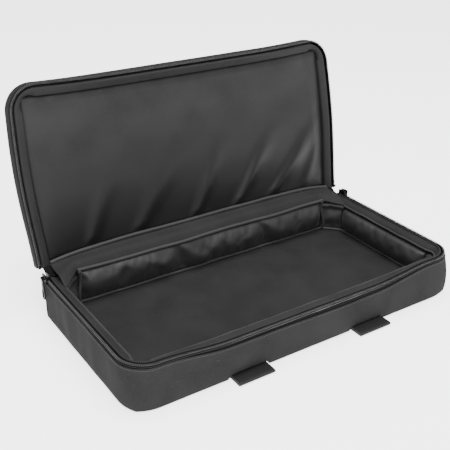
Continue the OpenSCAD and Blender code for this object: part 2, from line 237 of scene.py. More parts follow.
def tube(name, at, radius, along, around, length, closed=False, flat=1, matrix=None):
    """Round tube along at(u); flat shares out its height"""
    step = 0.5 / along

    def place(u, v):
        ahead, behind = (at((u + step) % 1), at((u - step) % 1)) if closed \
            else (at(min(u + step, 1)), at(max(u - step, 0)))
        way = (ahead - behind).normalized()
        side = way.cross(Vector((0, 0, 1)))
        side = side.normalized() if side.length > 0.2 else Vector((1, 0, 0))
        up = side.cross(way).normalized()
        angle = 2 * math.pi * v
        return at(u) + side * math.cos(angle) * radius + up * math.sin(angle) * radius * flat

    return sheet(name, place, along, around, (length, 2 * math.pi * radius), round_v=True,
                 round_u=closed, matrix=matrix)


def stitches(name, at, length, pitch=3.4 * MM, matrix=None):
    """Row of thread stitches along at(u), each a slim spindle that dips in at its ends"""
    thread_w = 0.65 * MM
    gap = 0.14
    count = max(int(length / pitch), 1)
    bm = bmesh.new()
    for i in range(count):
        start, end = at((i + gap) / count), at((i + 1 - gap) / count)
        way = end - start
        turn = way.to_track_quat("Z", "Y").to_matrix().to_4x4()
        made = bmesh.ops.create_uvsphere(bm, u_segments=5, v_segments=4, radius=0.5)
        stretch = Matrix.Diagonal((thread_w, thread_w, way.length, 1))
        spindle = Matrix.Translation((start + end) / 2) @ turn @ stretch
        bmesh.ops.transform(bm, matrix=spindle, verts=made["verts"])
    if matrix is not None:
        bm.transform(matrix)
    return add_object(name, bm)


def thicken(piece, thickness, offset=-1):
    """Gives a sheet its thickness: inwards, or on both sides with an offset of 0, or outwards with 1"""
    wall = piece.modifiers.new("thickness", "SOLIDIFY")
    wall.thickness = thickness
    wall.offset = offset


def soften(piece):
    """Rounds the piece off by one subdivision"""
    subdivision = piece.modifiers.new("soft", "SUBSURF")
    subdivision.levels = 1
    subdivision.render_levels = 1
    return piece


def finish_piece(piece, material, body, slot, *nodes):
    """Gives a piece its material, its body and the nodes it stands for; slot is not used"""
    piece.data.materials.clear()
    piece.data.materials.append(material)
    if nodes:
        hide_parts(*nodes)
    if body:
        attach(piece, body)


# ---- Shader maths ----

class Wire:
    """A shader socket that takes part in sums"""

    def __init__(self, paint, socket):
        self.paint = paint
        self.socket = socket

    def sum(self, operation, first, second=0.0):
        """Adds one Math node"""
        return self.paint.node("ShaderNodeMath", {"operation": operation}, {0: first, 1: second})

    def __add__(self, other):
        return self.sum("ADD", self, other)

    def __sub__(self, other):
        return self.sum("SUBTRACT", self, other)

    def __rsub__(self, other):
        return self.sum("SUBTRACT", other, self)

    def __mul__(self, other):
        return self.sum("MULTIPLY", self, other)

    __radd__ = __add__
    __rmul__ = __mul__

    def __gt__(self, other):
        return self.sum("GREATER_THAN", self, other)

    def sine(self):
        return self.sum("SINE", self)


class Paint:
    """A material: its shader and the nodes that feed it"""

    def __init__(self, name, **constants):
        self.material = bpy.data.materials.new(name)
        self.material.use_nodes = True
        self.tree = self.material.node_tree
        self.shader = self.tree.nodes["Principled BSDF"]
        for label, value in constants.items():
            self.shader.inputs[label.replace("_", " ")].default_value = value

    def node(self, kind, settings=None, sockets=None, output=0):
        """Adds a node with its settings and the values or links of its sockets"""
        node = self.tree.nodes.new(kind)
        for label, value in (settings or {}).items():
            setattr(node, label, value)
        for label, value in (sockets or {}).items():
            self.feed(node.inputs[label], value)
        return Wire(self, node.outputs[output])

    def feed(self, socket, value):
        if isinstance(value, Wire):
            self.tree.links.new(value.socket, socket)
        else:
            socket.default_value = value

    def shade(self, label, value):
        """Feeds one of the shader's sockets"""
        self.feed(self.shader.inputs[label], value)

    def place(self, uv):
        """UV or Object coordinates, both in metres"""
        return self.node("ShaderNodeTexCoord", output="UV" if uv else "Object")

    def dot(self, vector, along):
        return self.node("ShaderNodeVectorMath", {"operation": "DOT_PRODUCT"}, {0: vector, 1: along}, "Value")

    def cloud(self, vector, scale, detail=2.0):
        """Soft noise from 0 to 1; scale is in patches per metre"""
        return self.node("ShaderNodeTexNoise", sockets={"Vector": vector, "Scale": scale, "Detail": detail})

    def blend(self, factor, first, second):
        """Mix of two colours"""
        node = self.tree.nodes.new("ShaderNodeMix")
        node.data_type = "RGBA"
        self.feed(node.inputs["Factor"], factor)
        for label, colour in ((6, first), (7, second)):
            self.feed(node.inputs[label], colour if isinstance(colour, Wire) else (*colour, 1.0))
        return Wire(self, node.outputs[2])

    def span(self, value, low, high, to_low=0.0, to_high=1.0):
        """Value stretched from one range to another, and kept inside it"""
        return self.node("ShaderNodeMapRange", sockets={0: value, 1: low, 2: high, 3: to_low, 4: to_high})

    def bump(self, height, strength, distance):
        self.shade("Normal", self.node("ShaderNodeBump", sockets={
            "Height": height, "Strength": strength, "Distance": distance}))


def woven(name, tone, pitch, rough, sheen, uv=True, across=(1, 0, 0), up=(0, 0, 1), relief=0.5,
          rib=1.0, wear=0.25, gloss=0.2, painted_shade=None):
    """Woven cloth: threads of one pitch, soft patches of shade, lint, and edges that have rubbed pale.
    The optional (from, to, share) paints shade: the cloth is darkened to that share across the sheet's width,
    standing in for the light that falls off there"""
    paint = Paint(name, Sheen_Weight=sheen, Sheen_Roughness=0.45, Specular_IOR_Level=gloss)
    where = paint.place(uv)
    solid = paint.place(False)
    if uv:
        across, up = (1, 0, 0), (0, 1, 0)
    warp = paint.dot(where, across) * (math.pi / pitch)
    weft = paint.dot(where, up) * (math.pi / pitch * rib)
    threads = warp.sine() * weft.sine() * 0.5 + 0.5
    fine = (warp * 2.0).sine() * 0.25 + (weft * 2.0).sine() * 0.25 + 0.5
    patches = paint.cloud(solid, 24.0, 4.0)
    fibres = paint.cloud(solid, 900.0, 1.0)
    shade = paint.span(patches, 0.3, 0.7)
    dark = tuple(c * 0.70 for c in tone)
    light = tuple(c * 1.22 for c in tone)
    colour = paint.blend(shade, dark, light)
    slubs = paint.span(paint.cloud(solid, 480.0, 2.0), 0.35, 0.65)
    colour = paint.blend(slubs * 0.4, colour, tuple(c * 1.4 for c in tone))
    colour = paint.blend(threads * 0.3, colour, tuple(c * 1.35 for c in tone))
    lint = (paint.cloud(solid, 420.0, 0.0) > 0.8) * 0.35
    colour = paint.blend(lint, colour, tuple(c * 2.2 for c in tone))
    edge = paint.node("ShaderNodeNewGeometry", output="Pointiness")
    rubbed = paint.span(edge, 0.515, 0.6) * wear
    colour = paint.blend(rubbed, colour, tuple(c * 2.4 for c in tone))
    # Painted shade: the colour darkens across the sheet's width in place of light that falls off there
    if painted_shade:
        painted_shade_mask = paint.span(paint.dot(where, up), painted_shade[0], painted_shade[1])
        colour = paint.blend(painted_shade_mask, colour, tuple(c * painted_shade[2] for c in tone))
    paint.shade("Base Color", colour)
    paint.shade("Roughness", threads * -0.08 + shade * 0.08 + rough)
    paint.bump(threads * 0.6 + fine * 0.25 + fibres * 0.3, relief, 0.35 * MM)
    return paint.material


def plain(name, tone, rough, metal=0.0, grain=120.0, coat=0.0, wear=0.4, pale=(0.2, 0.2, 0.21), relief=0.15,
          gloss=0.4):
    """Moulded, painted or foamed stuff: a fine grain, uneven gloss and worn edges"""
    paint = Paint(name, Coat_Weight=coat, Coat_Roughness=0.3, Specular_IOR_Level=gloss)
    solid = paint.place(False)
    speckle = paint.cloud(solid, grain * 10, 3.0)
    patches = paint.cloud(solid, grain, 3.0)
    edge = paint.node("ShaderNodeNewGeometry", output="Pointiness")
    rubbed = paint.span(edge, 0.52, 0.62) * paint.span(patches, 0.4, 0.6) * wear
    colour = paint.blend(patches, tuple(c * 0.8 for c in tone), tuple(c * 1.2 for c in tone))
    paint.shade("Base Color", paint.blend(rubbed, colour, pale))
    paint.shade("Roughness", patches * 0.2 + (rough - 0.1))
    paint.shade("Metallic", rubbed * (1 - metal) + metal)
    paint.bump(speckle, relief, 0.1 * MM)
    return paint.material


NYLON = woven("outer nylon", (0.0192, 0.0191, 0.0192), 0.9 * MM, 0.8, 0.0, gloss=0.03)
FACING = woven("facing nylon", (0.0155, 0.0154, 0.0155), 0.9 * MM, 0.66, 0.02, gloss=0.13)
# The lid lining's colour is painted darker towards the hinge, its lower end when the lid is open: painted
# shade
SATIN = woven("lid lining", (0.0150, 0.0149, 0.0151), 0.8 * MM, 0.44, 0.02, relief=0.35, gloss=0.2,
              painted_shade=(0.05, 0.19, 0.35))
FLOOR = woven("floor lining", (0.0160, 0.0159, 0.0161), 0.8 * MM, 0.66, 0.02, relief=0.35, gloss=0.1)
PAD_LONG = woven("lining, long walls", (0.0185, 0.0184, 0.0186), 0.8 * MM, 0.50, 0.05, uv=False, relief=0.3,
                 gloss=0.32)
PAD_SIDE = woven("lining, side walls", (0.0185, 0.0184, 0.0186), 0.8 * MM, 0.50, 0.05, uv=False,
                 across=(0, 1, 0), relief=0.3, gloss=0.32)
BINDING = woven("binding tape", (0.0230, 0.0229, 0.0231), 0.7 * MM, 0.56, 0.04, rib=0.5, gloss=0.24)
WEBBING = woven("webbing", (0.0110, 0.0109, 0.0111), 1.6 * MM, 0.6, 0.03, relief=1.0, rib=0.6, gloss=0.16)
TAPE = woven("zip tape", (0.0040, 0.0040, 0.0041), 0.7 * MM, 0.75, 0.0, gloss=0.08)
THREAD = woven("sewing thread", (0.034, 0.034, 0.035), 0.5 * MM, 0.5, 0.05, uv=False, gloss=0.2)
COIL = plain("zip coil", (0.036, 0.036, 0.036), 0.36, coat=0.05, wear=0.1, gloss=0.4)
METAL = plain("black metal", (0.003, 0.003, 0.003), 0.46, wear=0.08, pale=(0.02, 0.02, 0.021), gloss=0.12)
FOAM = plain("foam", (0.10, 0.10, 0.105), 0.9, grain=60, wear=0, relief=0.6)
BOARD = plain("board", (0.015, 0.015, 0.016), 0.6, grain=40, wear=0.1)


# ---- The tray's rail and how its soft edges sit ----

rail = Track([(-half_l, side_back_y, 0), (-half_l, front_y, FRONT_R), (half_l, front_y, FRONT_R),
              (half_l, side_back_y, 0)])


def corner_of(out):
    """1 in the middle of a corner and 0 on the straight sides"""
    return 2 * abs(out.x * out.y)


def front_dip(spot):
    """1 in the middle of the front edge, where the rim sags, and 0 at the corners and sides"""
    if spot.y > front_y + FRONT_R:
        return 0
    return 1 - smooth(105 * MM, 196 * MM, abs(spot.x + 6 * MM))


def seam_height(spot, u):
    """Height of the outer wall's upper edge"""
    wave = 1.3 * MM * ripple(u * 9, 0, 1)
    low_spot = 2 * MM * math.exp(-((spot.x - 43 * MM) / (50 * MM)) ** 2)
    return seam_z + 2.6 * MM + wave - (9.5 * MM + low_spot) * front_dip(spot)


def rim_drop(spot):
    """How far the zip and the rim hang below their height at the corners"""
    return 7 * MM * front_dip(spot)


def on_rail(u, inset, z):
    """Point beside the rail at u: inset from the outer face, at height z"""
    spot, out = rail.at(u)
    flat = spot - out * inset
    return Vector((flat.x, flat.y, z))


def strap_lift(spot):
    """The wall's lower edge rides up over the webbing that comes out under it"""
    if spot.y > front_y + FRONT_R:
        return 0
    aside = abs(abs(spot.x) - strap_x) - strap_w / 2
    return (strap_high.z + 0.4 * MM) * (1 - smooth(0.3 * MM, 5 * MM, aside))


def outer_wall():
    """One strip round the left, front and right: tucked under below, hemmed and stitched above"""
    tuck = 6 * MM
    hem = 2.6 * MM
    # Shares of the strip's width at which the tuck, the lower rounding and the upright part end
    tuck_end, curve_end, wall_end = 0.1, 0.25, 0.95

    def place(u, v):
        spot, out = rail.at(u)
        low, top = strap_lift(spot) + 0.2 * MM, seam_height(spot, u)
        along = u * rail.length
        if v < tuck_end:
            inset, z = LOWER_R + tuck * (1 - v / tuck_end), low
        elif v < curve_end:
            angle = math.pi / 2 * (v - tuck_end) / (curve_end - tuck_end)
            inset, z = LOWER_R * (1 - math.sin(angle)), low + LOWER_R * (1 - math.cos(angle))
        elif v < wall_end:
            f = (v - curve_end) / (wall_end - curve_end)
            inset, z = 0, low + LOWER_R + (top - low - LOWER_R) * f
        else:
            f = (v - wall_end) / (1 - wall_end)
            inset, z = 1.4 * MM * f, top + 0.3 * MM * math.sin(math.pi * f)
        inset -= 0.7 * MM * smooth(hem + 0.8 * MM, hem, top - z)
        height = (z - low) / (top - low)
        swell = math.sin(math.pi * min(max(height, 0), 1))
        # The corners are squarer below than at the seam, the right one most
        below = max(1 - z / top, 0)
        squared = 0.22 * below if spot.x < 0 else 0.42 * below ** 0.6
        inset += 0.8 * MM * max(0, 1 - z / (13 * MM)) ** 2
        inset -= squared * FRONT_R * (1 / max(abs(out.x), abs(out.y)) - 1)
        wrinkle = 2.6 * MM * ripple(along * 17, z * 9, 2) + 1.5 * MM * ripple(along * 48, z * 12, 3)
        inset -= swell * max(1.0 * MM + wrinkle, -0.6 * MM)
        return on_rail(u, inset, z)

    piece = sheet("outer_wall_fabric", place, 420, 30, (rail.length, seam_z))
    thicken(piece, CLOTH_T)
    finish_piece(piece, NYLON, "tray", "nylon", "outer_wall")

    def row(u):
        f = 0.004 + 0.992 * u
        return on_rail(f, -0.95 * MM, seam_height(rail.at(f)[0], f) - 1.5 * MM)

    seam = stitches("wall_stitching", row, rail.length)
    finish_piece(seam, THREAD, "tray", "nylon")


def back_fabric():
    """Back wall, round its two corners"""
    path = Track([(half_l, side_back_y - 1 * MM, 0), (half_l, back_y, BACK_R), (-half_l, back_y, BACK_R),
                  (-half_l, side_back_y - 1 * MM, 0)])
    curve_end = 0.2

    def place(u, v):
        spot, out = path.at(u)
        if v < curve_end:
            angle = math.pi / 2 * v / curve_end
            inset, z = LOWER_R * (1 - math.sin(angle)), LOWER_R * (1 - math.cos(angle))
        else:
            f = (v - curve_end) / (1 - curve_end)
            rise = smooth(half_l - 24 * MM, half_l - 2 * MM, abs(spot.x)) * (seam_z - back_top)
            inset, z = 0, LOWER_R + (back_top + 1.5 * MM + rise - LOWER_R) * f
        swell = math.sin(math.pi * min(z / back_top, 1))
        inset += swell * 0.4 * MM * (1 + ripple(u * 11, z * 10, 5))
        inset += 1.0 * MM * max(0, 1 - z / (13 * MM)) ** 2
        flat = spot - out * inset
        return Vector((flat.x, flat.y, z + 0.2 * MM))

    piece = sheet("back_wall_fabric", place, 220, 24, (path.length, back_top))
    thicken(piece, CLOTH_T)
    finish_piece(piece, NYLON, "tray", "nylon", "back_panel")


def base_fabric():
    """Bottom fabric with the shallow recess that the handle folds into"""
    recess_half = strap_x + strap_w / 2 + 2 * MM
    recess_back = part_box("base_handle")[1].y + 4 * MM
    recess_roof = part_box("base_panel")[1].z
    inset = 6 * MM

    def place(u, v):
        x = (2 * u - 1) * (half_l - inset)
        y = front_y + inset + (back_y - front_y - 2 * inset) * (1 - v)
        corner = max(0, abs(x) - (half_l - FRONT_R))
        y = max(y, front_y + FRONT_R - math.sqrt(max((FRONT_R - inset) ** 2 - corner ** 2, 0)))
        inside = 1 - smooth(recess_half, recess_half + 4 * MM, abs(x))
        inside *= 1 - smooth(recess_back, recess_back + 5 * MM, y)
        sag = 0.5 * MM * (1 - inside) * (1 + ripple(x * 14, y * 14, 6))
        return Vector((x, y, 0.3 * MM + inside * (recess_roof - 1.3 * MM) + sag))

    piece = sheet("base_fabric", place, 160, 90, (2 * half_l, back_y - front_y))
    thicken(piece, CLOTH_T * 0.8)
    finish_piece(piece, NYLON, "tray", "nylon", "base_panel")


# ---- Rim, zip and bindings of the tray ----

def puffy_band(name, at, inner, outer, low, high, along, length, seed, slope=0.0, matrix=None):
    """Padded band with a rounded section that falls by slope towards its inner edge; at(u, inset, z)
    gives a point beside its rail"""
    middle_in, middle_z = (inner + outer) / 2, (low + high) / 2
    half_w, half_h = (inner - outer) / 2, (high - low) / 2

    def place(u, v):
        angle = 2 * math.pi * v
        c, s = math.cos(angle), math.sin(angle)
        rounded = (abs(c) ** 3.6 + abs(s) ** 3.6) ** (-1 / 3.6)
        pucker = 1 + 0.05 * ripple(u * length * 55 + c, s, seed)
        fall = slope * (1 + c * rounded) / 2
        return at(u, middle_in + half_w * c * rounded, middle_z + half_h * s * rounded * pucker - fall)

    return sheet(name, place, along, 20, (length, 4 * (half_w + half_h)), round_v=True, matrix=matrix)


def tray_rim():
    """Padded rim, the binding along its inner edge and the fold along its outer one"""
    slope = 5 * MM

    def at(u, inset, z):
        spot, out = rail.at(u)
        tip = smooth(rim_in, rim_out, inset)
        drop = rim_drop(spot) * (0.35 + 0.75 * tip) + 0.6 * MM * ripple(u * 24, inset * 60, 8)
        return on_rail(u, inset - RIM_PUSH * corner_of(out) * (1 - tip), z - drop)

    piece = puffy_band("rim_padding", at, rim_in, rim_out, tray_top - 8 * MM, tray_top - 1.2 * MM,
                       360, rail.length, 9, slope=slope)
    finish_piece(piece, FACING, "tray", "facing", "rim_facing")

    def edge(u):
        spot, out = rail.at(u)
        sag = rim_drop(spot) * 0.35 + 0.8 * MM * ripple(u * 30, 0, 10)
        return on_rail(u, rim_in + 0.3 * MM - RIM_PUSH * corner_of(out), tray_top - slope - 3.6 * MM - sag)

    cord = tube("rim_binding_tape", edge, FINE_BINDING_R, 400, 8, rail.length)
    finish_piece(cord, BINDING, "tray", "binding", "rim_binding")

    def fold(u):
        sag = rim_drop(rail.at(u)[0]) * 1.1 + 0.4 * MM * ripple(u * 40, 2, 11)
        return on_rail(u, rim_out + 1.0 * MM, tray_top - 1.3 * MM - sag)

    hem = tube("rim_edge_fold", fold, 1.1 * MM, 400, 8, rail.length)
    finish_piece(hem, FACING, "tray", "facing")


def coil_run(u):
    """Middle of the tray's half of the zip coil"""
    return on_rail(u, coil_in, tray_top - coil_half_h - rim_drop(rail.at(u)[0]))


def lid_coil_run(u):
    """Middle of the lid's half of the zip coil, with the lid shut"""
    return lid_shape(on_rail(u, coil_in, lid_z + coil_half_h - rim_drop(rail.at(u)[0])))


def zip_coil(name, middle, body, node, matrix=None):
    """Monofilament wound along the edge of one zip tape; middle(u) runs the rail's whole length, and
    the coil stops short of its ends"""
    short = (side_back_y - coil_high.y) / rail.length
    length = rail.length * (1 - 2 * short)
    turns = int(length / COIL_PITCH)

    def run(u):
        return middle(short + (1 - 2 * short) * u)

    def wire(u):
        ahead = run(min(u + 0.002, 1)) - run(max(u - 0.002, 0))
        side = ahead.cross(Vector((0, 0, 1))).normalized()
        angle = 2 * math.pi * turns * u
        return run(u) + side * COIL_SIDE * math.cos(angle) + Vector((0, 0, COIL_UP * math.sin(angle)))

    coil = tube(name, wire, COIL_THREAD_R, turns * 8, 5, length, matrix=matrix)
    finish_piece(coil, COIL, body, "zip_coil", node)


def tray_zip():
    """The tray's zip tape, its half of the coil, the stitching below it and the tape's inner half"""
    def place(u, v):
        spot = rail.at(u)[0]
        low = seam_height(spot, u) - 6 * MM
        high = tray_top - coil_half_h - rim_drop(spot)
        lean = 0.5 * MM * math.sin(math.pi * v) * (1 - v) * (1 + ripple(u * 26, 0, 12))
        return on_rail(u, 0.9 * MM + (coil_in - 0.9 * MM) * v ** 2 - lean, low + (high - low) * v)

    tape = sheet("tray_zip_tape_cloth", place, 380, 10, (rail.length, 14 * MM))
    thicken(tape, TAPE_T)
    finish_piece(tape, TAPE, "tray", "zip_tape", "tray_zip_tape")
    zip_coil("tray_coil", coil_run, "tray", "tray_zip_coil")

    def row(u):
        return coil_run(u) + rail.at(u)[1].to_3d() * 1.0 * MM - Vector((0, 0, 2.6 * MM))

    seam = stitches("tray_tape_stitching", row, rail.length, 2.8 * MM)
    finish_piece(seam, THREAD, "tray", "zip_tape")

    def behind(u, v):
        """Tape's inner half, sewn down below the coil, where the sliders don't reach"""
        inset = coil_in + 0.4 * MM + (rim_out + 2 * MM - coil_in) * v
        sag = rim_drop(rail.at(u)[0]) + 0.8 * MM * math.sin(math.pi * v)
        return on_rail(u, inset, tray_top - 5.4 * MM - sag)

    fold = sheet("tray_zip_fold", behind, 380, 5, (rail.length, 6 * MM))
    thicken(fold, 0.5 * MM)
    finish_piece(fold, TAPE, "tray", "zip_tape")


# ---- Tray lining ----

def floor_cloth():
    """Floor lining, a little wavy, and the binding sewn round it"""
    low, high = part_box("floor_lining")

    def place(u, v):
        x = low.x + (high.x - low.x) * u
        y = low.y + (high.y - low.y) * v
        edge = min(pad_x - abs(x), y - pad_front_y, pad_y - y)
        rise = 0.8 * MM * (ripple(x * 13, y * 13, 14) + 0.5 * ripple(x * 31, y * 24, 15))
        fall = 0.8 * MM * (1 - smooth(0, 6 * MM, edge))
        return Vector((x, y, high.z - 0.3 * MM + rise * smooth(0, 30 * MM, edge) - fall))

    piece = sheet("floor_lining_cloth", place, 200, 100, (high.x - low.x, high.y - low.y))
    thicken(piece, 1.4 * MM)
    finish_piece(piece, FLOOR, "tray", "lining", "floor_lining")

    seam = Track([(-pad_x, pad_y - cut, 4 * MM), (-pad_x, pad_front_y, 15 * MM),
                  (pad_x, pad_front_y, 15 * MM), (pad_x, pad_y - cut, 4 * MM),
                  (cut_x, pad_y, 4 * MM), (-cut_x, pad_y, 4 * MM)], closed=True)

    def edge(u):
        spot, out = seam.at(u)
        spot = spot - out * (1.6 * MM + 1.2 * MM * ripple(u * 40, 0, 16))
        return Vector((spot.x, spot.y, floor_top + 1.2 * MM + 0.7 * MM * ripple(u * 33, 1, 17)))

    cord = tube("floor_edge_binding", edge, 2.0 * MM, 420, 8, seam.length, closed=True)
    finish_piece(cord, BINDING, "tray", "binding", "floor_binding")


def copy_node(name, node):
    """Closed copy of a CAD node's mesh"""
    bm = bmesh.new()
    bm.from_mesh(frame["nodes"][node].data)
    bmesh.ops.remove_doubles(bm, verts=bm.verts, dist=1e-6)
    return add_object(name, bm)


def applied(piece):
    """Turns the piece's modifiers into its mesh"""
    bpy.context.view_layer.update()
    evaluated = piece.evaluated_get(bpy.context.evaluated_depsgraph_get())
    mesh = bpy.data.meshes.new_from_object(evaluated)
    piece.modifiers.clear()
    piece.data = mesh
    for polygon in mesh.polygons:
        polygon.use_smooth = True
    return piece


def blown(node, held, grow, cap, voxel=4.5 * MM, raised=1.0, swell=None):
    """Padded lining swollen by cloth simulation; held(point) says how firmly a point is sewn down, grow
    is how much larger its cloth is cut, and cap is the furthest that any point moves.
    raised stretches the lining upwards first, and swell(point) is how far its padding fills it"""
    frames = 20
    piece = copy_node(node + "_pad", node)
    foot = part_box(node)[0].z
    for vertex in piece.data.vertices:
        vertex.co.z = foot + (vertex.co.z - foot) * raised
    grid = piece.modifiers.new("grid", "REMESH")
    grid.mode = "VOXEL"
    grid.voxel_size = voxel
    applied(piece)
    if swell:
        for vertex in piece.data.vertices:
            vertex.co += swell(vertex.co.copy())
    rest = [v.co.copy() for v in piece.data.vertices]
    group = piece.vertex_groups.new(name="sewn")
    for index, point in enumerate(rest):
        group.add([index], held(point), "REPLACE")
    cloth = piece.modifiers.new("cloth", "CLOTH")
    cloth.settings.quality = 6
    cloth.settings.mass = 0.25
    cloth.settings.tension_stiffness = 12
    cloth.settings.compression_stiffness = 8
    cloth.settings.shear_stiffness = 4
    cloth.settings.bending_stiffness = 1.5
    cloth.settings.use_pressure = True
    cloth.settings.uniform_pressure_force = 5.0
    cloth.settings.shrink_min = -grow
    cloth.settings.vertex_group_mass = "sewn"
    cloth.settings.pin_stiffness = 1.0
    cloth.settings.effector_weights.gravity = 0
    cloth.point_cache.frame_end = frames
    scene = bpy.context.scene
    for step in range(1, frames + 1):
        scene.frame_set(step)
    applied(piece)
    scene.frame_set(1)
    for vertex, start in zip(piece.data.vertices, rest):
        move = vertex.co - start
        if move.length > cap:
            vertex.co = start + move * (cap / move.length)
    piece.vertex_groups.clear()
    return soften(piece)


def held_by_hems(foot, head, width):
    """Holds a lining by the hems along its foot and its head"""
    def held(point):
        return 0.9 * (1 - smooth(1 * MM, width, min(point.z - foot, head - point.z)))

    return held


def sewn_edges(low, high, face_axis, face_side):
    """Holds a lining by its hems and all over its side against the foam"""
    foam_face = high[face_axis] if face_side < 0 else low[face_axis]
    by_hems = held_by_hems(low.z, high.z, 6 * MM)

    def held(point):
        return 1.0 if abs(point[face_axis] - foam_face) < 2.5 * MM else by_hems(point)

    return held


def pillow(low, high, face_axis, face_side, depth):
    """How far padding fills a lining: most above its middle, and nothing at its edges and ends"""
    along = 1 - face_axis
    foam_face = high[face_axis] if face_side < 0 else low[face_axis]

    def swell(point):
        rise = min(max((point.z - low.z) / (high.z - low.z), 0), 1)
        from_end = min(point[along] - low[along], high[along] - point[along])
        from_foam = abs(point[face_axis] - foam_face)
        amount = depth * math.sin(math.pi * rise ** 1.25) ** 0.8 * smooth(-1 * MM, 14 * MM, from_end)
        amount *= smooth(2 * MM, 6 * MM, from_foam)
        move = Vector((0, 0, 0))
        move[face_axis] = face_side * amount
        return move

    return swell


def side_pad(word, face_side):
    """Padded lining of the left or right wall"""
    node = word + "_lining"
    low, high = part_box(node)
    pad = blown(node, sewn_edges(low, high, 0, face_side), 0.03, 6 * MM,
                swell=pillow(low, high, 0, face_side, 8 * MM))
    finish_piece(pad, PAD_SIDE, "tray", "lining", node)
    return pad


def back_pad():
    """Padded lining of the back wall, pinched in by two gathers that fan out below its top edge"""
    low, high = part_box("back_lining")
    top = Vector((high.x, high.y, pad_top))
    fill = pillow(low, top, 1, -1, 9 * MM)
    gathers = (-54 * MM, 80 * MM)

    def between_gathers(point):
        fall = pad_top - point.z
        swell = fill(point)
        for x in gathers:
            beside = (point.x - x - 0.25 * fall) / (4 * MM + 0.35 * fall)
            swell *= 1 - 0.75 * math.exp(-beside ** 2)
        return swell * (1 + 0.25 * ripple(point.x * 22, point.z * 20, 44))

    pad = blown("back_lining", sewn_edges(low, top, 1, -1), 0.035, 5 * MM, voxel=4 * MM,
                raised=(pad_top - low.z) / (high.z - low.z), swell=between_gathers)
    finish_piece(pad, PAD_LONG, "tray", "lining", "back_lining")
    return pad


def front_pad():
    """Padded lining of the front wall"""
    low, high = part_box("front_lining")
    pad = blown("front_lining", held_by_hems(low.z, high.z, 7 * MM), 0.03, 4 * MM)
    finish_piece(pad, PAD_LONG, "tray", "lining", "front_lining")
    return pad


def corner_gusset(word):
    """Upright gusset that covers the cut across a back corner"""
    node = "corner_gusset_" + word
    low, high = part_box(node)
    top = high.z + 3 * MM
    gusset = blown(node, held_by_hems(low.z, top, 6 * MM), 0.05, 5 * MM, voxel=3.5 * MM,
                   raised=(top - low.z) / (high.z - low.z))
    finish_piece(gusset, PAD_SIDE, "tray", "lining", node)


def pads():
    """Every padded lining of the tray's walls"""
    right = side_pad("right", -1)
    left = side_pad("left", 1)
    back = back_pad()
    front = front_pad()
    corner_gusset("left")
    corner_gusset("right")


def upright_bindings():
    """Wavy bindings that stand between the back pad and the gussets"""
    for side, word in ((-1, "left"), (1, "right")):
        node = "corner_binding_" + word
        low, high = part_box(node)

        def edge(u, side=side, low=low, high=high):
            z = low.z - 1 * MM + (pad_top - low.z + 2 * MM) * u
            sway = 2.6 * MM * math.sin(u * 5.2 + 0.6)
            return Vector(((low.x + high.x) / 2 + side * sway * 0.8, low.y - 1.0 * MM - 0.6 * sway, z))

        cord = tube(node + "_tape", edge, BINDING_R, 30, 10, high.z - low.z)
        finish_piece(cord, BINDING, "tray", "binding", node)


def back_top_edge(x):
    """Top edge of the back lining, which sags a little between its gathers"""
    sag = 1.4 * MM * ripple(x * 16, 0, 21) - 1.2 * MM * (1 - (x / cut_x) ** 2)
    return Vector((x, pad_y + 0.6 * MM + 1.0 * MM * ripple(x * 21, 3, 22), pad_top + 0.8 * MM + sag))


def back_binding():
    """Binding along the top of the back pad"""
    def edge(u):
        return back_top_edge((2 * u - 1) * cut_x) + Vector((0, -1.6 * MM, 0.6 * MM))

    cord = tube("back_edge_binding", edge, HEAVY_BINDING_R, 220, 8, 2 * cut_x)
    finish_piece(cord, BINDING, "tray", "binding", "back_binding")


# ---- Hinge fabric between the tray and the lid ----

hinge_half = half_l - lid_rim_in - 0.5 * MM


def facing_rise(x):
    """How far the facing strip reaches up the lid: it curves down to the hinge at both ends"""
    return 7 * MM * (1 - (abs(x) / (hinge_half + 1 * MM)) ** 6)


def lid_face_point(x, up, lift):
    """Point beside the lid's lining with the lid open: up the lid from its hinge end, lift in front of it"""
    return TO_OPEN @ Vector((x, lid_back_y - 2 * MM - up, lid_face_z - lift))


def facing_profile(x):
    """The strip's section, from the back padding's top, or the corner gusset's, up to the lid's lining"""
    start = back_top_edge(x) + Vector((0, 0.4 * MM, 0.3 * MM))
    past = min(max(abs(x) - cut_x, 0), cut)
    start.y -= past
    start.z -= 5 * MM * past / cut
    head = lid_face_point(x, 3 * MM + facing_rise(x), 3.6 * MM)
    pleat = ripple(x * 26, 5, 23)
    over = start.lerp(head, 0.33) + Vector((0, -0.6 * MM, 3.4 * MM + 1.0 * MM * pleat))
    dip = start.lerp(head, 0.72) + Vector((0, 0.4 * MM, 0.4 * MM + 0.8 * MM * ripple(x * 30, 8, 26)))
    return [start, over, dip, head]


def hinge_inside():
    """Facing strip from the back pad up to the lid's lining, and the binding along its upper edge"""
    def place(u, v):
        return through(facing_profile((2 * u - 1) * hinge_half), v)

    strip = sheet("hinge_facing_strip", place, 260, 26, (2 * hinge_half, 50 * MM))
    thicken(strip, 0.9 * MM, 0)
    finish_piece(strip, FACING, None, "facing", "hinge_facing", "hinge_roll", "hinge_flap")
    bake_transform(strip)

    def edge(u):
        x = (2 * u - 1) * (hinge_half - 1 * MM)
        return facing_profile(x)[-1] + Vector((0, -1.4 * MM, 0.4 * MM + 0.8 * MM * ripple(x * 22, 0, 24)))

    cord = tube("hinge_edge_binding", edge, HEAVY_BINDING_R, 260, 8, 2 * hinge_half)
    finish_piece(cord, BINDING, "lid", "binding", "hinge_binding")


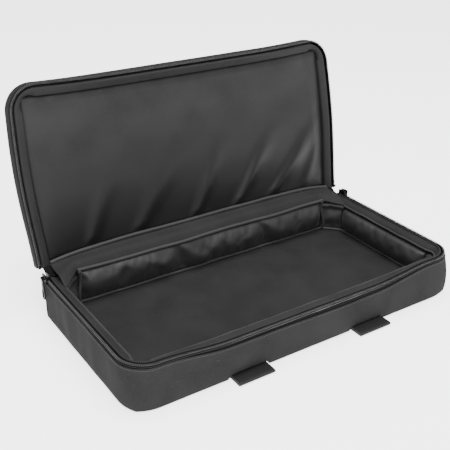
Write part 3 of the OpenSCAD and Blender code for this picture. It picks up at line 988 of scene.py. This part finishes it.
def hinge_outside():
    """Strip across the back, from the tray's back wall to the lid's hinge edge"""
    radius = 9.4 * MM
    first = math.atan2(back_top - hinge_at.z, back_y - hinge_at.y)
    last = math.radians(40)

    def place(u, v):
        x = (2 * u - 1) * (hinge_half - 4 * MM)
        angle = first + (last - first) * v
        swell = radius * (1 + math.sin(math.pi * v) * (0.10 + 0.06 * ripple(x * 24, v * 2, 25)))
        return Vector((x, hinge_at.y + swell * math.cos(angle), hinge_at.z + swell * math.sin(angle)))

    strip = sheet("hinge_back_strip", place, 240, 14, (2 * hinge_half, 20 * MM))
    thicken(strip, CLOTH_T, 0)
    finish_piece(strip, NYLON, None, "nylon")
    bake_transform(strip)


def hinge_ends():
    """Zip tape that carries on from the tray's rim to the lid's, at both ends of the hinge"""
    rim_end = Vector((0, side_back_y - 2 * MM, tray_top - 2.4 * MM))
    lid_end = TO_OPEN @ Vector((0, lid_back_y - 3 * MM, lid_z + 3 * MM))
    sag = rim_end.lerp(lid_end, 0.5) - Vector((0, 0, 3.0 * MM))
    width = 15 * MM
    for side, word in ((-1, "left"), (1, "right")):
        def place(u, v, side=side):
            point = through([rim_end, sag, lid_end], v)
            point.x = side * (half_l - rim_out - 0.4 * MM - width * u)
            point.z -= 2.0 * MM * smooth(0.6, 1, u)
            return point

        strip = sheet("hinge_end_" + word, place, 12, 20, (width, 24 * MM))
        thicken(strip, 1.0 * MM, 0)
        finish_piece(strip, TAPE, None, "zip_tape")
        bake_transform(strip)


# ---- Lid, drawn shut and then opened ----

def lid_shape(point):
    """The lid's outline isn't quite straight: its ends bow out and its free corners reach further"""
    middle_y = (front_y + lid_back_y) / 2
    reach = (point.y - middle_y) / ((lid_back_y - front_y) / 2)
    bow = 4.2 * MM * (1 - min(reach * reach, 1)) ** 2 * (point.x / half_l)
    free = smooth(lid_back_y - 50 * MM, front_y, point.y)
    lift = 4.5 * MM * free * (abs(point.x) / half_l) ** 4 - 1.5 * MM * free
    return Vector((point.x + bow, point.y - lift, point.z))


lid_rail = Track([(-half_l, lid_back_y - 1 * MM, 0), (-half_l, front_y, FRONT_R), (half_l, front_y, FRONT_R),
                  (half_l, lid_back_y - 1 * MM, 0)])
lid_loop = Track([(-half_l, lid_back_y, LID_HINGE_R), (-half_l, front_y, FRONT_R), (half_l, front_y, FRONT_R),
                  (half_l, lid_back_y, LID_HINGE_R)], closed=True)


def on_lid(u, inset, z):
    """Point beside the shut lid's outline at u, given like on_rail's"""
    spot, out = lid_loop.at(u)
    flat = spot - out * inset
    return lid_shape(Vector((flat.x, flat.y, z)))


def lid_seam_height(spot, u):
    """Height of the lid wall's lower edge, with the lid shut"""
    wave = 1.0 * MM * ripple(u * 11, 0, 31)
    return lid_seam_z + wave - rim_drop(spot) * 0.8


def lid_walls():
    """Fabric right round the lid, rounded over towards the outer panel"""
    upper_r = 6 * MM
    # Shares of the strip's width at which the hem and the upright part end
    hem_end, wall_end = 0.06, 0.7

    def place(u, v):
        spot, out = lid_loop.at(u)
        low = lid_seam_height(spot, u)
        if v < hem_end:
            inset, z = 1.4 * MM * (1 - v / hem_end), low
        elif v < wall_end:
            inset, z = 0, low + (lid_top - upper_r - low) * (v - hem_end) / (wall_end - hem_end)
        else:
            angle = math.pi / 2 * (v - wall_end) / (1 - wall_end)
            inset = upper_r * (1 - math.cos(angle))
            z = lid_top - upper_r + upper_r * math.sin(angle)
        swell = math.sin(math.pi * min(max((z - low) / (lid_top - low), 0), 1))
        swell *= smooth(lid_back_y - 2 * MM, lid_back_y - 24 * MM, spot.y)
        inset -= swell * (0.8 * MM + 1.0 * MM * ripple(u * 20, z * 30, 32)) - 0.2 * MM
        if spot.y > lid_back_y - LID_HINGE_R:
            # The hinge corners are stretched nearly square over the foam
            inset -= 0.85 * LID_HINGE_R * (1 / max(abs(out.x), abs(out.y)) - 1)
        return on_lid(u, inset, z)

    wall = sheet("lid_wall_fabric", place, 460, 20, (lid_loop.length, 24 * MM), round_u=True, matrix=TO_OPEN)
    thicken(wall, CLOTH_T)
    finish_piece(wall, NYLON, "lid", "nylon", "lid_wall", "lid_spine")


def rounded_plan(u, v, inset, low_y, high_y, front_radius, back_radius):
    """Point of a sheet that fills a rounded outline: u across, v from the free edge to the hinge"""
    y = low_y + inset + (high_y - low_y - 2 * inset) * v
    half = half_l - inset
    from_front, from_back = y - low_y - inset, high_y - inset - y
    for radius, edge in ((front_radius - inset, from_front), (back_radius - inset, from_back)):
        if 0 <= edge < radius:
            arc = math.sqrt(max(radius ** 2 - (radius - edge) ** 2, 0))
            half = min(half, half_l - inset - radius + arc)
    return (2 * u - 1) * half, y


def lid_outside():
    """The lid's outer panel and the piping round it"""
    inset = 6 * MM

    def place(u, v):
        x, y = rounded_plan(u, v, inset, front_y, lid_back_y, FRONT_R, LID_HINGE_R)
        edge = min(half_l - inset - abs(x), y - front_y - inset, lid_back_y - inset - y)
        # Crowned, but flat where the handle lies
        crown = (1.2 * MM + 0.9 * MM * ripple(x * 12, y * 12, 33)) * smooth(-55 * MM, -10 * MM, y)
        crown *= smooth(0, 50 * MM, edge)
        return lid_shape(Vector((x, y, lid_top + crown)))

    panel = sheet("lid_outer_panel", place, 200, 110, (2 * half_l, lid_back_y - front_y), matrix=TO_OPEN)
    thicken(panel, CLOTH_T)
    finish_piece(panel, NYLON, "lid", "nylon", "lid_panel")

    cord = tube("lid_edge_piping", lambda u: on_lid(u, 5.6 * MM, lid_top + 0.2 * MM), 1.3 * MM, 420, 8,
                lid_loop.length, closed=True, matrix=TO_OPEN)
    finish_piece(cord, BINDING, "lid", "binding")


def lid_rim():
    """The lid's padded rim"""
    def at(u, inset, z):
        spot, out = lid_rail.at(u)
        tip = smooth(lid_rim_in, rim_out, inset)
        flat = spot - out * (inset - RIM_PUSH * corner_of(out) * (1 - tip))
        drop = rim_drop(spot) * (0.35 + 0.65 * tip) + 0.5 * MM * ripple(u * 22, inset * 60, 34)
        return lid_shape(Vector((flat.x, flat.y, z - drop)))

    band = puffy_band("lid_rim_padding", at, lid_rim_in + 1.2 * MM, rim_out, lid_z + 1.4 * MM,
                      lid_rim_high.z - 3 * MM, 360, lid_rail.length, 35, slope=-2.5 * MM, matrix=TO_OPEN)
    finish_piece(band, FACING, "lid", "facing", "lid_rim_facing")


def lid_zip():
    """The lid's zip tape and its half of the coil"""
    def place(u, v):
        spot, out = lid_rail.at(u)
        low = lid_z + coil_half_h - rim_drop(spot)
        high = lid_seam_height(spot, u) + 5 * MM
        flat = spot - out * (coil_in + (0.9 * MM - coil_in) * v)
        return lid_shape(Vector((flat.x, flat.y, low + (high - low) * v)))

    tape = sheet("lid_zip_tape_cloth", place, 380, 10, (lid_rail.length, 14 * MM), matrix=TO_OPEN)
    thicken(tape, TAPE_T)
    finish_piece(tape, TAPE, "lid", "zip_tape", "lid_zip_tape")
    zip_coil("lid_coil", lid_coil_run, "lid", "lid_zip_coil", TO_OPEN)


def lid_lining():
    """Satiny lining, sewn down only at its edges, so that its lower half hangs in soft folds"""
    hinge_limit = lid_back_y - 3 * MM
    seam_in = lid_rim_in - 1.5 * MM
    free_corner_r, hinge_corner_r = 22 * MM, 28 * MM
    # Where each fold leaves the hinge, its slant, its half width and its height
    folds = (
        (-0.168, 0.45, 11 * MM, 5 * MM),
        (-0.105, 0.75, 15 * MM, 4.5 * MM),
        (-0.018, 0.55, 10 * MM, 5.5 * MM),
        (0.048, 0.7, 11 * MM, 6 * MM),
        (0.108, 0.9, 14 * MM, 5 * MM),
        (0.170, 0.5, 12 * MM, 3 * MM),
    )

    def hang(x, y):
        """Folds that slant up from the hinge, sharper below than above, and the belly they hang from"""
        up = hinge_limit - y
        total = 0
        for start, slant, width, height in folds:
            line = start + slant * up + 6 * MM * ripple(up * 14, 0, start * 100)
            beside = (x - line) / (width * (0.7 + up * 9))
            total += height * math.exp(-beside ** 2 * (2.2 if beside < 0 else 0.8))
        low_half = smooth(125 * MM, 45 * MM, up)
        low_half *= smooth(facing_rise(x) - 4 * MM, facing_rise(x) + 16 * MM, up)
        belly = 4.5 * MM * math.exp(-((up - 95 * MM) / (50 * MM)) ** 2)
        return total * low_half + belly

    def place(u, v):
        x, y = rounded_plan(u, v, seam_in, front_y, lid_back_y + lid_rim_in - 5 * MM,
                            free_corner_r, hinge_corner_r)
        inner = half_l - lid_rim_in
        from_top, from_end = y - front_y - lid_rim_in, inner - abs(x)
        edge = min(from_end, from_top, hinge_limit - y)
        puff = 1.8 * MM * smooth(-2 * MM, 12 * MM, edge) + 1.2 * MM * smooth(0, 50 * MM, edge)
        pucker = 1.1 * MM * ripple(x * 70, y * 12, 41) * (1 - smooth(0, 22 * MM, from_top))
        side_pucker = 0.6 * MM * ripple(y * 70, x * 12, 42) * (1 - smooth(0, 20 * MM, from_end))
        slack = 1.3 * MM * ripple(x * 15, y * 19, 43) * smooth(0, 30 * MM, edge)
        hung = hang(x, y) * smooth(0, 25 * MM, from_end)
        sewn = 2.6 * MM * (1 - smooth(-2 * MM, 4 * MM, edge))
        z = lid_face_z - puff - pucker - side_pucker - slack - hung + sewn
        return lid_shape(Vector((x, y, z)))

    piece = sheet("lid_lining_cloth", place, 300, 160, (2 * half_l, lid_back_y - front_y), matrix=TO_OPEN)
    thicken(piece, 1.2 * MM, 1)
    finish_piece(piece, SATIN, "lid", "lining", "lid_lining")


# ---- Handles ----

def webbing_handle(name, holder, body, nodes, reach, lean, matrix):
    """Webbing from one sewn end, back on itself in a fold, round the loop and to the other sewn end.
    matrix puts the fold's axis on its hinge: the webbing lies along +Y, its sewn ends at +Z"""
    radius = 1.2 * MM
    sewn = 50 * MM
    arc = math.pi * radius
    grip_w = 24 * MM
    grip_y = reach - grip_w / 2
    loop = Track([(-strap_x, 0, 0), (-strap_x, grip_y, 30 * MM), (strap_x, grip_y, 30 * MM), (strap_x, 0, 0)])
    total = 2 * (sewn + arc) + loop.length

    def centre(run):
        """Middle of the webbing, its width's direction and how far it has turned round the fold"""
        if run < sewn:
            return Vector((-strap_x, sewn - run, radius)), Vector((1, 0, 0)), 0
        if run < sewn + arc:
            angle = (run - sewn) / radius
            turned = Vector((-strap_x, -radius * math.sin(angle), radius * math.cos(angle)))
            return turned, Vector((1, 0, 0)), angle / math.pi
        spot, out = loop.at((run - sewn - arc) / loop.length)
        return Vector((spot.x, spot.y, -radius)), Vector((out.x, out.y, 0)), 1

    def place(u, v):
        run = u * total
        flip = run > total / 2
        point, side, turned = centre(total - run if flip else run)
        narrow = smooth(strap_x - 6 * MM, strap_x - 30 * MM, abs(point.x))
        point = point + side * (v - 0.5) * (strap_w + (grip_w - strap_w) * narrow)
        point = Matrix.Rotation(lean * turned, 3, "X") @ point
        if flip:
            point.x = -point.x
        point.z += 0.15 * MM * ripple(u * 40, v * 3, 51) * turned
        return point

    ribbon = sheet(name + "_webbing", place, 420, 14, (total, strap_w), matrix=matrix)
    thicken(ribbon, strap_t, 0)
    finish_piece(ribbon, WEBBING, None, "webbing", *nodes)
    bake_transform(ribbon)

    grip_half = strap_x - 44 * MM

    def sleeve(u, v):
        angle = 2 * math.pi * v
        c, s = math.cos(angle), math.sin(angle)
        rounded = (abs(c) ** 4 + abs(s) ** 4) ** -0.25
        y = grip_y + 13 * MM * c * rounded
        z = -radius + strap_t / 2 + 1.9 * MM * s * rounded
        return Matrix.Rotation(lean, 3, "X") @ Vector(((2 * u - 1) * grip_half, y, z))

    grip = sheet(name + "_grip", sleeve, 60, 24, (2 * grip_half, 56 * MM), round_v=True, matrix=matrix)
    finish_piece(grip, WEBBING, body, "webbing")
    for side, word in ((-1, "left"), (1, "right")):
        for row in (-1, 1):
            def run_along(u, side=side, row=row):
                return Vector((side * strap_x + row * (strap_w / 2 - 4 * MM), 3 * MM + (sewn - 6 * MM) * u,
                               radius - strap_t / 2 - 0.05 * MM))
            edge = "inner" if row * side < 0 else "outer"
            seam = stitches(f"{name}_stitching_{word}_{edge}", run_along, sewn - 6 * MM, matrix=matrix)
            finish_piece(seam, THREAD, holder, "webbing")


def fold_at(joint):
    """Where a handle's joint folds its webbing"""
    return Vector(next(j for j in frame["joints"] if j["name"] == joint)["pos_m"])


def handles():
    """The case's handle, folded under its base, and the one on the lid"""
    fold = fold_at("base_handle_swing")
    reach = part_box("base_handle")[1].y - fold.y
    webbing_handle("base_handle", "tray", "base_handle",
                   ("base_handle", "base_strap_left", "base_strap_right"), reach, 0, Matrix.Translation(fold))
    on_panel = Matrix.Rotation(-open_angle, 4, "X") @ Matrix.Rotation(math.pi, 4, "Y")
    at_lid_fold = Matrix.Translation(fold_at("lid_handle_swing")) @ on_panel
    webbing_handle("lid_handle", "lid", "lid_handle", ("lid_handle", "lid_strap_left", "lid_strap_right"),
                   reach, math.pi / 2 - open_angle, at_lid_fold)


# ---- CAD pieces that stay, with better finishes ----

def keep_nodes():
    """Finishes for the CAD pieces whose own shapes stay"""
    finishes = {"slider_left": METAL, "slider_right": METAL, "pull_left": METAL, "pull_right": METAL,
                "tray_zip_stops": METAL, "lid_zip_stops": METAL, "base_foam": FOAM, "wall_foam": FOAM,
                "back_foam": FOAM, "lid_foam": FOAM, "base_board": BOARD, "lid_board": BOARD}
    for node, material in finishes.items():
        mesh = frame["nodes"][node].data
        mesh.materials.clear()
        mesh.materials.append(material)


# ---- Room, lights and camera ----

def room():
    """Pale floor, white surroundings and two soft lamps"""
    bm = bmesh.new()
    bmesh.ops.create_grid(bm, x_segments=1, y_segments=1, size=40)
    floor = add_object("floor", bm)
    paint = Paint("pale floor", Roughness=0.9)
    patches = paint.cloud(paint.place(False), 3.0)
    paint.shade("Base Color", paint.blend(patches, (0.86, 0.86, 0.86), (0.9, 0.9, 0.9)))
    paint.shader.inputs["Emission Color"].default_value = (1, 1, 1, 1)
    paint.shader.inputs["Emission Strength"].default_value = 2.5
    floor.data.materials.append(paint.material)
    world = bpy.data.worlds.new("studio")
    bpy.context.scene.world = world
    world.use_nodes = True
    world.node_tree.nodes["Background"].inputs["Color"].default_value = (1, 1, 1, 1)
    world.node_tree.nodes["Background"].inputs["Strength"].default_value = 0.95
    for name, place, size, power in (("key", (-0.5, -1.0, 1.45), 1.0, 28), ("top", (0.1, 0.0, 1.7), 0.9, 30)):
        light = bpy.data.lights.new(name, "AREA")
        light.size = size
        light.energy = power
        lamp = bpy.data.objects.new(name, light)
        bpy.context.scene.collection.objects.link(lamp)
        lamp.location = place
        lamp.rotation_euler = (Vector((0, 0, 0.08)) - Vector(place)).to_track_quat("-Z", "Y").to_euler()


def camera():
    """Looks down into the case from in front of its left end"""
    place = (-0.5095, -0.6880, 0.5380)
    azimuth, elevation, roll = (math.radians(angle) for angle in (-33.99, 26.54, 0.82))
    level = Vector((math.sin(azimuth), -math.cos(azimuth), 0))
    back = level * math.cos(elevation) + Vector((0, 0, math.sin(elevation)))
    right = Vector((math.cos(azimuth), math.sin(azimuth), 0))
    up = back.cross(right)
    turned_right = right * math.cos(roll) + up * math.sin(roll)
    turned_up = up * math.cos(roll) - right * math.sin(roll)
    data = bpy.data.cameras.new("camera")
    data.lens = 62.82
    data.sensor_width = 36
    lens = bpy.data.objects.new("camera", data)
    bpy.context.scene.collection.objects.link(lens)
    turn = Matrix((turned_right, turned_up, back)).transposed().to_4x4()
    lens.matrix_world = Matrix.Translation(place) @ turn
    bpy.context.scene.camera = lens


outer_wall()
back_fabric()
base_fabric()
tray_rim()
tray_zip()
floor_cloth()
pads()
upright_bindings()
back_binding()
hinge_inside()
hinge_outside()
hinge_ends()
lid_walls()
lid_outside()
lid_rim()
lid_zip()
lid_lining()
handles()
keep_nodes()
room()
camera()
